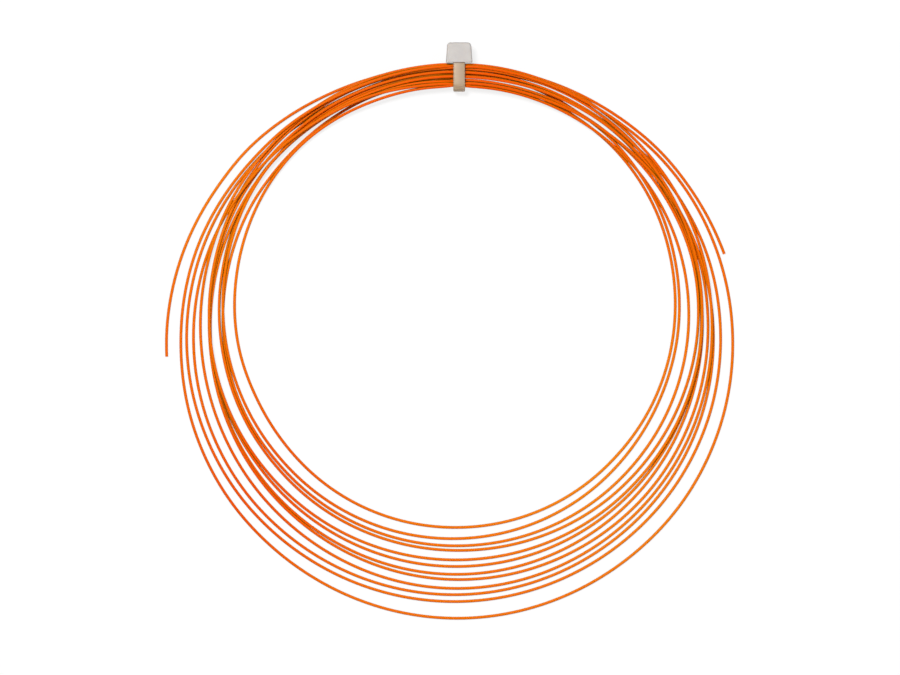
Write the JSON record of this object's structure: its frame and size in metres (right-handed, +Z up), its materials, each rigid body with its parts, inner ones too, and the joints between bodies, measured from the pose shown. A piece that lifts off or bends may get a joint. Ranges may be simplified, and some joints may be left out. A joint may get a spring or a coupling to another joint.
{
  "type": "coil of fibre optic cord",
  "caption": "Flat coil of thin orange fibre optic cord with bare cut ends, bound by a natural nylon cable tie with a locking pawl in its head.",
  "frame": {"origin": "middle of the whole part's outline, on the surface it lies on", "axes": "+Z up, +Y from the middle of the coil towards the cable tie, +X to the right as the coil is seen from above"},
  "size_m": [0.1732, 0.1758, 0.0082],
  "materials": {
    "orange_buffer": "satin",
    "acrylate": "matte",
    "silica_glass": "gloss",
    "natural_nylon": "satin"
  },
  "bodies": {
    "bundle": {"tight_buffer": "orange_buffer", "primary_coating": "acrylate", "glass_fibre": "silica_glass", "tie_strap": "natural_nylon", "tie_head": "natural_nylon"},
    "pawl": {"tie_pawl": "natural_nylon"}
  },
  "joints": [
    {"name": "pawl_hinge", "type": "hinge", "parent": "bundle", "child": "pawl", "pos_m": [0.00319, 0.08279, 0.0052], "axis": [-1, 0, 0], "range_deg": [0, 12], "stiffness_Nm_per_rad": 0.02}
  ]
}
